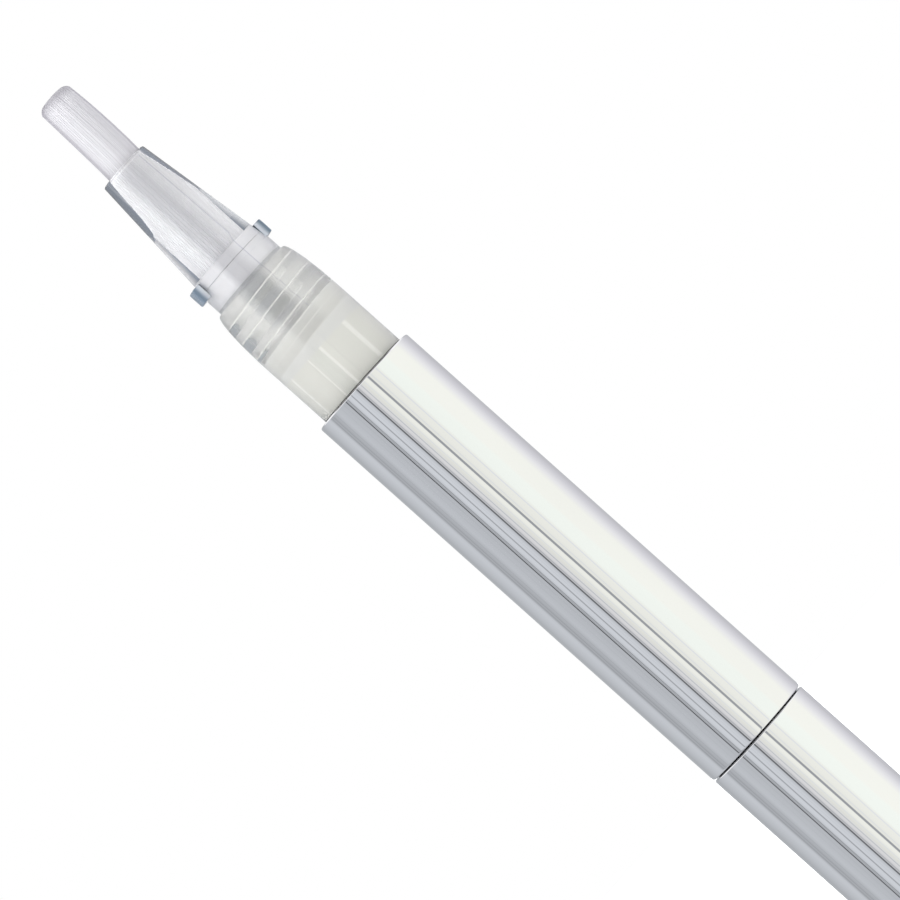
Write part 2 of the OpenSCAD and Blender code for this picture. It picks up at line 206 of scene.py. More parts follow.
class Wiring:
    """Short calls that add and join the nodes of one node tree."""

    def __init__(self, tree: Tree) -> None:
        """Start on a node tree."""
        self.tree = tree

    def node(self, kind: str, **settings: object) -> Node:
        """Add a node.

        Args:
            kind: Blender's name of the node's type.
            settings: Properties to set on it.

        Returns:
            The node.
        """
        made = self.tree.nodes.new(kind)
        for key, value in settings.items():
            setattr(made, key, value)
        return made

    def feed(self, value: object, socket: Socket) -> None:
        """Give an input its value: a link where the value is a socket.

        Args:
            value: A socket, a number or a colour.
            socket: The input.
        """
        if isinstance(value, Socket):
            self.tree.links.new(value, socket)
        else:
            socket.default_value = value

    def place(self, kind: str = "Object") -> tuple[Socket, ...]:
        """Add the coordinates of a place, a piece's own unless another kind is named.

        Args:
            kind: The coordinates' name.

        Returns:
            The X, Y and Z sockets.
        """
        place = self.node("ShaderNodeTexCoord")
        split = self.node("ShaderNodeSeparateXYZ")
        self.feed(place.outputs[kind], split.inputs[0])
        return tuple(split.outputs)

    def fed(self, kind: str, inputs: dict[str, object]) -> Node:
        """Add a node and give its named inputs their values.

        Args:
            kind: Blender's name of the node's type.
            inputs: Sockets, numbers or colours by the inputs' names.

        Returns:
            The node.
        """
        made = self.node(kind)
        for name, value in inputs.items():
            self.feed(value, made.inputs[name])
        return made

    def filled(self, node: Node, *values: object) -> Node:
        """Give a node's first inputs their values.

        Args:
            node: The node.
            values: Sockets, numbers or colours, in the inputs' order.

        Returns:
            The node.
        """
        for value, socket in zip(values, node.inputs):
            self.feed(value, socket)
        return node

    def group(self, tree: Tree, *values: float) -> Node:
        """Add a group with its own values, in the order of its inputs."""
        return self.filled(self.node("ShaderNodeGroup", node_tree=tree), *values)

    def sum_of(self, operation: str, *values: object) -> Socket:
        """Work out one step of arithmetic by a Math node's operation."""
        return self.filled(self.node("ShaderNodeMath", operation=operation), *values).outputs[0]

    def stepped(self, *values: object) -> Socket:
        """Map a value smoothly. The value, the change's start and end, and the two results go in."""
        made = self.node("ShaderNodeMapRange", interpolation_type="SMOOTHSTEP")
        return self.filled(made, *values).outputs["Result"]

    def rise(self, value: Socket, middle: float, edge: float, low: float = 0.0, high: float = 1.0) -> Socket:
        """Change smoothly from low to high, within an edge's width on each side of a middle."""
        return self.stepped(value, middle - edge, middle + edge, low, high)

    def line(self, value: Socket, centre: float, core: float, half: float) -> Socket:
        """Mark a line: one as far as its core from its centre, then fading to zero at its half width."""
        apart = self.sum_of("ABSOLUTE", self.sum_of("SUBTRACT", value, centre))
        return self.stepped(apart, core, half, 1.0, 0.0)

    def turn(self, across: Socket, away: Socket) -> Socket:
        """Work out the angle about the axis, in degrees from the side of the lower Y towards +X."""
        angle = self.sum_of("ARCTAN2", across, self.sum_of("MULTIPLY", away, -1.0))
        return self.sum_of("MULTIPLY", angle, math.degrees(1))

    def mixed(self, share: object, first: object, second: object) -> Socket:
        """Mix two colours.

        Args:
            share: Share of the second colour.
            first: First colour.
            second: Second colour.

        Returns:
            The colour's socket.
        """
        made = self.node("ShaderNodeMix", data_type="RGBA")
        self.feed(share, made.inputs["Factor"])
        self.feed(first, made.inputs[6])
        self.feed(second, made.inputs[7])
        return made.outputs[2]

    def ramp(self, source: Socket, stops: list[tuple[float, Colour]]) -> Socket:
        """Colour a value by a ramp.

        Args:
            source: The value from 0 to 1.
            stops: Places and colours, from low to high.

        Returns:
            The colour's socket.
        """
        made = self.node("ShaderNodeValToRGB")
        elements = made.color_ramp.elements
        while len(elements) < len(stops):
            elements.new(1.0)
        for element, (place, colour) in zip(elements, stops):
            element.position = place
            element.color = (*colour, 1.0)
        self.feed(source, made.inputs["Fac"])
        return made.outputs["Color"]


def new_group(name: str, inputs: dict[str, float], *outputs: str) -> tuple[Wiring, Node, Node]:
    """Start a shader node group with named sockets.

    Args:
        name: Name of the group.
        inputs: Default values of its number inputs by name.
        outputs: Names of its outputs. Normal is a vector, and the others are numbers.

    Returns:
        The group's wiring, its input node and its output node.
    """
    group = bpy.data.node_groups.new(name, "ShaderNodeTree")
    for socket_name, default in inputs.items():
        made = group.interface.new_socket(name=socket_name, in_out="INPUT", socket_type="NodeSocketFloat")
        made.default_value = default
    for socket_name in outputs:
        kind = "NodeSocketVector" if socket_name == "Normal" else "NodeSocketFloat"
        group.interface.new_socket(name=socket_name, in_out="OUTPUT", socket_type=kind)
    wires = Wiring(group)
    return wires, wires.node("NodeGroupInput"), wires.node("NodeGroupOutput")


def drawn_streaks_group() -> Tree:
    """Build the group that gives fine streaks along the pen.

    Returns:
        A group with a mask of streaks and a normal that they bend.
    """
    wires, start, end = new_group(
        "drawn_streaks",
        {"Across": 2000.0, "Along": 60.0, "Height": 0.2, "Depth": 0.00001},
        "Mask", "Normal")
    merge = wires.node("ShaderNodeCombineXYZ")
    for index, (axis, rate) in enumerate(zip(wires.place(), ("Across", "Across", "Along"))):
        wires.feed(wires.sum_of("MULTIPLY", axis, start.outputs[rate]), merge.inputs[index])
    noise = wires.fed("ShaderNodeTexNoise", {"Scale": 1.0, "Detail": 2.0, "Vector": merge.outputs[0]})
    bump = wires.fed("ShaderNodeBump", {
        "Strength": start.outputs["Height"],
        "Distance": start.outputs["Depth"],
        "Height": noise.outputs["Fac"],
    })
    wires.feed(noise.outputs["Fac"], end.inputs["Mask"])
    wires.feed(bump.outputs["Normal"], end.inputs["Normal"])
    return wires.tree


def moulded_grain_group() -> Tree:
    """Build the group that gives the faint unevenness of moulded plastic.

    Returns:
        A group with a cloudy mask and a normal with a fine grain.
    """
    wires, start, end = new_group(
        "moulded_grain",
        {"Cloud Scale": 300.0, "Grain Scale": 4000.0, "Grain Height": 0.1, "Depth": 0.00001},
        "Mask", "Normal")
    place = wires.node("ShaderNodeTexCoord")
    cloud, grain = (
        wires.fed("ShaderNodeTexNoise", {"Vector": place.outputs["Object"], "Scale": start.outputs[scale]})
        for scale in ("Cloud Scale", "Grain Scale"))
    bump = wires.fed("ShaderNodeBump", {
        "Strength": start.outputs["Grain Height"],
        "Distance": start.outputs["Depth"],
        "Height": grain.outputs["Fac"],
    })
    wires.feed(cloud.outputs["Fac"], end.inputs["Mask"])
    wires.feed(bump.outputs["Normal"], end.inputs["Normal"])
    return wires.tree


def depth_mask_group() -> Tree:
    """Build the group that tells how far out from the pen's axis a place lies.

    Returns:
        A group with a mask that grows from the first radius to the second.
    """
    wires, start, end = new_group("depth_mask", {"Start": 0.004, "End": 0.005}, "Mask")
    across, other, _ = wires.place()
    squares = [wires.sum_of("MULTIPLY", axis, axis) for axis in (across, other)]
    radius = wires.sum_of("SQRT", wires.sum_of("ADD", *squares))
    mask = wires.stepped(radius, start.outputs["Start"], start.outputs["End"], 0.0, 1.0)
    wires.feed(mask, end.inputs["Mask"])
    return wires.tree


def strip_mask_group() -> Tree:
    """Build the group that marks the strip of painted shade along the pen, which may fade towards the tail.

    Returns:
        A group with a mask that is one between two places on the X axis.
    """
    wires, start, end = new_group(
        "strip_mask",
        {"Low": -0.001, "Low Edge": 0.0001, "High": 0.001, "High Edge": 0.0001,
         "Fade Low": -1.0, "Fade High": -0.9, "Faded": 1.0},
        "Mask")
    across, _, along = wires.place()
    sides = []
    for side, levels in (("Low", (0.0, 1.0)), ("High", (1.0, 0.0))):
        middle, edge = start.outputs[side], start.outputs[f"{side} Edge"]
        first, last = (wires.sum_of(step, middle, edge) for step in ("SUBTRACT", "ADD"))
        sides.append(wires.stepped(across, first, last, *levels))
    faded = (start.outputs[name] for name in ("Fade Low", "Fade High", "Faded"))
    fade = wires.stepped(along, *faded, 1.0)
    mask = wires.sum_of("MULTIPLY", wires.sum_of("MULTIPLY", *sides), fade)
    wires.feed(mask, end.inputs["Mask"])
    return wires.tree


@dataclass
class Groups:
    """The node groups that the finishes share, and the materials made so far."""

    streaks: Tree = field(default_factory=drawn_streaks_group)
    grain: Tree = field(default_factory=moulded_grain_group)
    depth: Tree = field(default_factory=depth_mask_group)
    strip: Tree = field(default_factory=strip_mask_group)
    materials: dict[str, Material] = field(default_factory=dict)


@dataclass(frozen=True)
class Finish:
    """A finish of the pen: the Principled shader's plain values, with texture from a group.

    The across and along rates are the texture's features per metre. A finish that isn't
    streaked takes them as its cloud's and its grain's scale.
    """

    name: str
    low_colour: Colour
    high_colour: Colour
    roughness: float
    roughness_spread: float = 0.05
    metallic: float = 0.0
    transmission: float = 0.0
    ior: float = 1.49
    streaked: bool = False
    across: float = 600.0
    along: float = 1500.0
    height: float = 0.1
    depth: float = 0.00001

    def material(self, groups: Groups) -> Material:
        """Build the material, or find it if another piece has it.

        Args:
            groups: The shared node groups.

        Returns:
            The material.
        """
        if self.name in groups.materials:
            return groups.materials[self.name]
        made = bpy.data.materials.new(self.name)
        groups.materials[self.name] = made
        made.use_nodes = True
        made.node_tree.nodes.clear()
        wires = Wiring(made.node_tree)
        tree = groups.streaks if self.streaked else groups.grain
        texture = wires.group(tree, self.across, self.along, self.height, self.depth)
        stops = list(zip(COLOUR_STOPS, (self.low_colour, self.high_colour)))
        colour = wires.ramp(texture.outputs["Mask"], stops)
        spread = wires.sum_of("MULTIPLY", texture.outputs["Mask"], self.roughness_spread)
        shader = wires.fed("ShaderNodeBsdfPrincipled", {
            "Base Color": self.tinted(wires, groups, colour),
            "Roughness": wires.sum_of("ADD", spread, self.roughness),
            "Normal": texture.outputs["Normal"],
            "Metallic": self.metallic,
            "Transmission Weight": self.transmission,
            "IOR": self.ior,
        })
        wires.fed("ShaderNodeOutputMaterial", {"Surface": shader.outputs["BSDF"]})
        return made

    def tinted(self, wires: Wiring, groups: Groups, colour: Socket) -> Socket:
        """Leave the colour as it is; the finishes with marks of their own, painted light and painted shade
        among them, change it here.
        """
        return colour


@dataclass(frozen=True)
class RadialFinish(Finish):
    """A finish that turns to a painted colour farther out from the pen's axis: painted shade on the lugs'
    outer ends, painted highlight on the reservoir's rib crests.
    """

    painted_outer_colour: Colour = (0.5, 0.5, 0.5)
    start_r: float = 4.2 * MM
    end_r: float = 4.8 * MM

    def tinted(self, wires: Wiring, groups: Groups, colour: Socket) -> Socket:
        """Blend towards the painted outer colour by the distance from the axis."""
        mask = wires.group(groups.depth, self.start_r, self.end_r)
        return wires.mixed(mask.outputs["Mask"], colour, (*self.painted_outer_colour, 1.0))


@dataclass(frozen=True)
class BandFinish(Finish):
    """A finish that is darker in a strip along the pen, between two places on the X axis: painted shade."""

    painted_strip_shade: Colour = (0.46, 0.48, 0.51)
    band_low: float = -1.66 * MM
    low_edge: float = 0.08 * MM
    band_high: float = 1.3 * MM
    high_edge: float = 0.5 * MM
    fade_low: float = -1.0
    fade_high: float = -0.9
    faded: float = 1.0

    def tinted(self, wires: Wiring, groups: Groups, colour: Socket) -> Socket:
        """Darken the colour in the strip: painted shade."""
        mask = wires.group(
            groups.strip, self.band_low, self.low_edge, self.band_high, self.high_edge,
            self.fade_low, self.fade_high, self.faded)
        return wires.mixed(mask.outputs["Mask"], colour, (*self.painted_strip_shade, 1.0))


@dataclass(frozen=True)
class LinedFinish(BandFinish):
    """A banded finish with one fine line along the pen too, on the side of the lower Y."""

    line_x: float = 1.65 * MM
    line_w: float = 0.07 * MM
    line_colour: Colour = (0.7, 0.7, 0.76)

    def tinted(self, wires: Wiring, groups: Groups, colour: Socket) -> Socket:
        """Darken the colour on the line.

        Args:
            wires: The material's wiring.
            groups: The shared node groups.
            colour: The colour so far.

        Returns:
            The colour's socket.
        """
        colour = super().tinted(wires, groups, colour)
        across, towards, _ = wires.place()
        line = wires.line(across, self.line_x, self.line_w / 3, self.line_w)
        front = wires.sum_of("LESS_THAN", towards, 0.0)
        return wires.mixed(wires.sum_of("MULTIPLY", line, front), colour, (*self.line_colour, 1.0))


@dataclass(frozen=True)
class ContactFinish(Finish):
    """The finish of a bore with pale lines of painted light where the ribs inside press on it, and a dim
    strip of painted shade.

    Turns run from the side of the lower Y towards +X, in degrees.
    """

    pale: Colour = (0.95, 0.95, 0.93)
    dim: Colour = (0.76, 0.77, 0.74)
    pale_turns: tuple[float, ...] = (-66, -26, -4.3, 40)
    pale_halves: tuple[float, ...] = (2.6, 1.3, 2.4, 5.0)
    dim_turns: tuple[float, float] = (-24, -6.5)
    dim_edge: float = 1

    def tinted(self, wires: Wiring, groups: Groups, colour: Socket) -> Socket:
        """Lay the pale lines of painted light and the dim strip of painted shade between two of them over
        the colour.

        Args:
            wires: The material's wiring.
            groups: The shared node groups.
            colour: The colour so far.

        Returns:
            The colour's socket.
        """
        across, away, _ = wires.place()
        turn = wires.turn(across, away)
        low, high = self.dim_turns
        rise = wires.rise(turn, low, self.dim_edge)
        fall = wires.rise(turn, high, self.dim_edge, 1.0, 0.0)
        colour = wires.mixed(wires.sum_of("MULTIPLY", rise, fall), colour, (*self.dim, 1.0))
        for centre, half in zip(self.pale_turns, self.pale_halves):
            colour = wires.mixed(wires.line(turn, centre, half / 3, half), colour, (*self.pale, 1.0))
        return colour


@dataclass(frozen=True)
class StrandFinish(Finish):
    """The finish of the bristles, whose lightness differs from strand to strand by random tone, with painted
    shade laid over it outside the nozzle, on the flanks, at the edges and at the tip.
    """

    shade: str = "strand_shade"
    dark: Colour = (0.35, 0.34, 0.375)

    def tinted(self, wires: Wiring, groups: Groups, colour: Socket) -> Socket:
        """Darken the colour by each point's shade: its random tone and its painted shade."""
        shade = wires.node("ShaderNodeAttribute", attribute_name=self.shade)
        return wires.mixed(shade.outputs["Fac"], colour, (*self.dark, 1.0))


# Values that several finishes share
MIRROR = {"low_colour": (0.69, 0.69, 0.71), "high_colour": (0.72, 0.72, 0.74), "roughness": 0.015,
          "roughness_spread": 0.02, "metallic": 1.0, "streaked": True}
MOULDED = {"roughness": 0.35, "roughness_spread": 0.1, "across": 400.0, "along": 4000.0}
CONTACT = {"ior": 1.0, "height": 0.0}
TAIL_FADE = {"fade_low": 88.4 * MM, "fade_high": 89.2 * MM}

MIRROR_SHELL = Finish("mirror_shell", **MIRROR, across=140.0, along=25.0, height=0.25, depth=0.00008)
MIRROR_KNOB = Finish("mirror_knob", **MIRROR, across=150.0, along=20.0, height=0.4, depth=0.00009)
MILKY = Finish(
    "milky_polypropylene", (0.97, 0.97, 0.94), (0.99, 0.99, 0.96), 0.04, 0.04, transmission=0.92,
    across=400.0, height=0.02)
CLEAR = Finish(
    "clear_nozzle_plastic", (0.985, 0.985, 0.995), (0.995, 0.995, 1.0), 0.01, 0.02, transmission=1.0,
    height=0.01)
# The shank's grooves are darker in a middle strip along the pen: painted shade.
GROOVE = BandFinish(
    "shank_groove", (0.92, 0.93, 0.95), (0.97, 0.98, 1.0), 0.04, 0.03, transmission=1.0,
    across=900.0, height=0.02, faded=0.25, **TAIL_FADE)
# The lugs' outer ends turn to a dark slate colour: painted shade.
LUG = RadialFinish(
    "clouded_lug_plastic", (0.62, 0.66, 0.72), (0.7, 0.74, 0.8), 0.12, 0.05, transmission=0.35,
    across=900.0, height=0.02, painted_outer_colour=(0.14, 0.19, 0.25),
    start_r=4.2 * MM, end_r=4.7 * MM)
# The wetted bore is darker in a strip along the pen: painted shade.
WETTED = LinedFinish(
    "oil_wetted_bore", (0.99, 0.99, 0.99), (1.0, 1.0, 1.0), 0.0, 0.01, transmission=1.0,
    painted_strip_shade=(0.72, 0.72, 0.735), band_low=-0.95 * MM, low_edge=0.45 * MM, band_high=1.15 * MM,
    high_edge=0.7 * MM, **CONTACT)
# The cloudy bore carries pale lines of painted light and a dim strip of painted shade.
CLOUDY = ContactFinish(
    "cloudy_bore", (0.785, 0.785, 0.755), (0.8, 0.8, 0.77), 0.0, 0.01, transmission=0.12,
    ior=1.0, across=400.0, height=0.0)
SEALED = Finish(
    "sealed_end", (0.73, 0.735, 0.735), (0.77, 0.775, 0.775), 0.2, 0.05, transmission=0.1,
    ior=1.0, across=400.0, height=0.0)
# The shank's touching bands are darker in a strip along the pen: painted shade.
TOUCHING_BAND = BandFinish(
    "touching_band", (0.99, 0.99, 0.985), (1.0, 1.0, 0.995), 0.0, 0.01, transmission=1.0,
    painted_strip_shade=(0.63, 0.65, 0.68), band_low=-1.7 * MM, low_edge=0.4 * MM, faded=0.15,
    **TAIL_FADE, **CONTACT)
PRESSED = Finish(
    "pressed_groove_edge", (0.95, 0.95, 0.935), (0.98, 0.98, 0.965), 0.1, transmission=0.35, **CONTACT)
# The pressed rear bands are darker in a strip along the pen: painted shade.
PRESSED_REAR = BandFinish(
    "pressed_rear_bands", (0.9, 0.9, 0.885), (0.94, 0.94, 0.925), 0.1, transmission=0.35,
    painted_strip_shade=(0.77, 0.77, 0.76), band_low=-0.9 * MM, low_edge=0.6 * MM, band_high=2.0 * MM,
    high_edge=0.6 * MM, **CONTACT)
TOUCHING_FRONT = Finish(
    "touching_front_band", (0.77, 0.77, 0.765), (0.79, 0.79, 0.785), 0.0, 0.01, transmission=1.0,
    **CONTACT)
# A dark grey ring on the nozzle's base just ahead of the collar: painted shade.
BASE_SHADE_RING = Finish(
    "base_ring_painted_shade", (0.5, 0.51, 0.52), (0.6, 0.61, 0.62), 0.03, 0.03, transmission=0.96,
    across=700.0, along=2500.0, height=0.02)
# A near-black finish inside the recess at the barrel's rim: painted shade of the deep gap.
RIM_GAP_SHADE = Finish(
    "rim_gap_painted_shade", (0.05, 0.05, 0.055), (0.08, 0.08, 0.085), **{**MOULDED, "roughness": 0.5})
TOUCHING = Finish(
    "touching_plastic", (0.99, 0.99, 0.985), (1.0, 1.0, 0.995), 0.0, 0.01, transmission=1.0,
    **CONTACT)
# The bristles' shade attribute carries random tone and painted shade.
NYLON = StrandFinish(
    "nylon_bristle", (0.96, 0.96, 0.98), (0.985, 0.985, 1.0), 0.35, 0.1, transmission=0.02,
    streaked=True, across=5000.0, along=100.0, height=0.1)
WHITE_PLASTIC = Finish("white_moulding", (0.8, 0.8, 0.82), (0.85, 0.85, 0.865), **MOULDED)
# The reservoir's rib crests turn lighter than the neck: painted highlight on the crests, against the shade
# between the ribs.
NATURAL_PLASTIC = RadialFinish(
    "natural_polypropylene", (0.84, 0.86, 0.83), (0.9, 0.91, 0.88), **MOULDED,
    painted_outer_colour=(0.99, 0.99, 0.97), start_r=3.98 * MM, end_r=4.12 * MM)
GREY_PLASTIC = Finish("grey_acetal", (0.5, 0.52, 0.55), (0.58, 0.6, 0.63), **{**MOULDED, "roughness": 0.4})
SEAL_RUBBER = Finish(
    "silicone_seal", (0.82, 0.82, 0.82), (0.9, 0.9, 0.9), **{**MOULDED, "roughness": 0.55})

COLLAR_FINISHES = (MILKY, TOUCHING, SEALED, CLOUDY, PRESSED, RIM_GAP_SHADE, PRESSED_REAR, TOUCHING_FRONT)
NOZZLE_FINISHES = (CLEAR, WETTED, LUG, GROOVE, TOUCHING_BAND, SEALED, BASE_SHADE_RING)


def finish_piece(
    piece: Piece, material: Material, body: Body, slot: Slot, *nodes: str,
) -> None:
    """Dress a new piece, attach it to its body and hide the nodes that it replaces.

    Args:
        piece: The new object.
        material: Its material.
        body: The body that it rides on.
        slot: A material slot; not used.
        nodes: The nodes that it replaces.
    """
    piece.data.materials.clear()
    piece.data.materials.append(material)
    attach(piece, body.value)
    if nodes:
        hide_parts(*nodes)
    LOG.info("%s: %d faces on %s", piece.name, len(piece.data.polygons), body.value)


def finish_faces(
    piece: Piece, groups: Groups, finishes: tuple[Finish, ...], choose: Callable[[Face], Finish],
) -> None:
    """Give each face of a piece one of several finishes.

    Args:
        piece: The piece, which has the first finish.
        groups: The shared node groups.
        finishes: All its finishes.
        choose: What picks a face's finish.
    """
    for finish in finishes[1:]:
        piece.data.materials.append(finish.material(groups))
    for face in piece.data.polygons:
        face.material_index = finishes.index(choose(face))


@dataclass
class Shells:
    """The polished outer sleeves of the barrel and the knob."""

    barrel: Span = node_span("barrel_shell")
    knob: Span = node_span("knob_shell")
    wall: float = 0.55 * MM
    rim_round: float = 0.2 * MM
    tail_round: float = 0.8 * MM
    tail_wall: float = 1.2 * MM
    band: float = 2.0 * MM

    def straight(self, radius: float, low: float, high: float) -> Outline:
        """Points up a straight wall between its two ends, about one band apart."""
        count = max(1, round((high - low) / self.band))
        return [(radius, low + (high - low) * step / count) for step in range(1, count)]

    def build(self, groups: Groups) -> None:
        """Model and dress both sleeves."""
        self.build_barrel(MIRROR_SHELL.material(groups))
        self.build_knob(MIRROR_KNOB.material(groups))

    def build_barrel(self, material: Material) -> None:
        """Turn the open sleeve of the barrel.

        Args:
            material: Its finish.
        """
        span, rounding = self.barrel, self.rim_round
        outer, inner = span.radius, span.radius - self.wall
        outline = [(inner, span.low)]
        outline += arc((outer - rounding, span.low + rounding), rounding, -90, 0)
        outline += self.straight(outer, span.low + rounding, span.high - rounding)
        outline += arc((outer - rounding, span.high - rounding), rounding, 0, 90)
        outline += [(inner, span.high)]
        piece = turned("barrel_sleeve", outline)
        finish_piece(piece, material, Body.BARREL, Slot.SHELL, "barrel_shell")

    def build_knob(self, material: Material) -> None:
        """Turn the sleeve of the knob, closed at the tail.

        Args:
            material: Its finish.
        """
        span, rounding, tail = self.knob, self.rim_round, self.tail_round
        outer, inner = span.radius, span.radius - self.wall
        floor = span.low + self.tail_wall
        outline = [(0.0, span.low), (outer / 2, span.low)]
        outline += arc((outer - tail, span.low + tail), tail, -90, 0, steps=10)
        outline += self.straight(outer, span.low + tail, span.high - rounding)
        outline += arc((outer - rounding, span.high - rounding), rounding, 0, 90)
        outline += [(inner, span.high), (inner, floor), (0.0, floor)]
        piece = turned("knob_sleeve", outline)
        finish_piece(piece, material, Body.KNOB, Slot.SHELL, "knob_shell")


@dataclass
class Shank:
    """The nozzle's shank inside the collar, which touches it between its grooves."""

    low: float = field(default_factory=lambda: Span.of("nozzle").low)
    front: float = field(default_factory=lambda: Span.of("collar").high)
    band_starts: tuple[float, ...] = (0, 0.24, 0.47, 0.6, 0.7, 0.8, 0.92)
    band_ends: tuple[float, ...] = (0.145, 0.35, 0.56, 0.66, 0.76, 0.87, 1)
    tilt: float = 0.07
    rear_margin: float = 0.02 * MM
    front_margin: float = 0.2 * MM

    def grooves(self) -> list[tuple[float, float]]:
        """Heights of the rear and front edges of the grooves, from the rear on."""
        length = self.front - self.low
        rears = [self.front - length * start for start in reversed(self.band_starts[1:])]
        fronts = [self.front - length * end for end in reversed(self.band_ends[:-1])]
        return list(zip(rears, fronts))

    def level(self, place: Vector) -> float:
        """Height of a place as if the grooves weren't tilted."""
        return place.z - self.tilt * place.x

    def touches(self, height: float) -> bool:
        """Whether the collar's bore touches the shank at one height, which is outside every groove."""
        return height < self.front and not any(rear < height < front for rear, front in self.grooves())

    def tilt_grooves(self, piece: Piece, inner: float, outer: float) -> None:
        """Tilt the rings of the grooves a little, as the turns of a thread are.

        Args:
            piece: The nozzle or the collar.
            inner: Radius from which the rings lie.
            outer: Radius up to which they lie.
        """
        grooves = self.grooves()
        low, high = grooves[0][0] - self.rear_margin, grooves[-1][1] + self.front_margin
        for vertex in piece.data.vertices:
            if inner < vertex.co.xy.length < outer and low < vertex.co.z < high:
                vertex.co.z += self.tilt * vertex.co.x


@dataclass
class Collar:
    """The milky neck ring ahead of the barrel's rim."""

    shank: Shank = field(default_factory=Shank)
    span: Span = node_span("collar")
    rim: float = field(default_factory=lambda: Span.of("barrel_shell").high)
    radius: float = 5.18 * MM
    bore: float = 4.22 * MM
    recess: float = 0.4 * MM
    relief: float = 0.16 * MM
    gap: float = 0.1 * MM
    nose_len: float = 6.55 * MM
    nose_drop: float = 0.75 * MM
    edge: float = 0.12 * MM
    pressed_w: float = 0.13 * MM
    wet_from: float = 2.9 * MM
    bore_margin: float = 0.1 * MM
    gap_margin: float = 0.05 * MM

    def build(self, groups: Groups) -> None:
        """Turn and dress the collar.

        Args:
            groups: The shared node groups.
        """
        low, high = self.span.low, self.span.high
        nose = high - self.nose_len
        narrow = self.radius - self.relief
        outline = [(self.bore, low), (self.span.radius, low), (self.span.radius, self.rim - self.recess)]
        gap_end = self.rim + self.gap
        outline += [(narrow, self.rim - self.recess), (narrow, gap_end), (self.radius, gap_end)]
        steps = 20
        for step in range(steps + 1):
            angle = math.pi / 2 * step / steps
            radius = self.radius - self.nose_drop * (1 - math.cos(angle))
            outline.append((radius, nose + self.nose_len * math.sin(angle)))
        outline += [(self.bore + self.edge, high), (self.bore, high - self.edge)]
        for rear, front in reversed(self.shank.grooves()):
            outline += [(self.bore, front + self.pressed_w), (self.bore, front), (self.bore, rear)]
        outline += [(self.bore, self.shank.low)]
        piece = turned("neck_collar", outline)
        self.shank.tilt_grooves(piece, self.bore - NEAR, self.bore + NEAR)
        finish_piece(piece, MILKY.material(groups), Body.BARREL, Slot.MILKY, "collar")
        finish_faces(piece, groups, COLLAR_FINISHES, self.finish_of)

    def finish_of(self, face: Face) -> Finish:
        """Pick one face's finish.

        Args:
            face: The face.

        Returns:
            One of the collar's finishes.
        """
        middle = face.center
        grooves = self.shank.grooves()
        level = self.shank.level(middle)
        touches = self.shank.touches(level)
        if middle.xy.length > self.bore + self.bore_margin:
            # The faces in the recess at the rim get near-black painted shade.
            rear, front = self.rim - self.recess, self.rim + self.gap
            in_gap = rear - self.gap_margin < middle.z < front + NEAR
            return RIM_GAP_SHADE if in_gap and middle.xy.length < self.radius - self.gap_margin else MILKY
        if middle.z < self.shank.low:
            return CLOUDY
        if level < grooves[0][1]:
            return SEALED
        if any(front < level < front + self.pressed_w for _, front in grooves):
            return PRESSED
        if level < grooves[2][1]:
            return PRESSED_REAR
        if level > grooves[-1][1] and touches:
            return TOUCHING_FRONT
        return TOUCHING if touches or middle.x > self.wet_from else MILKY


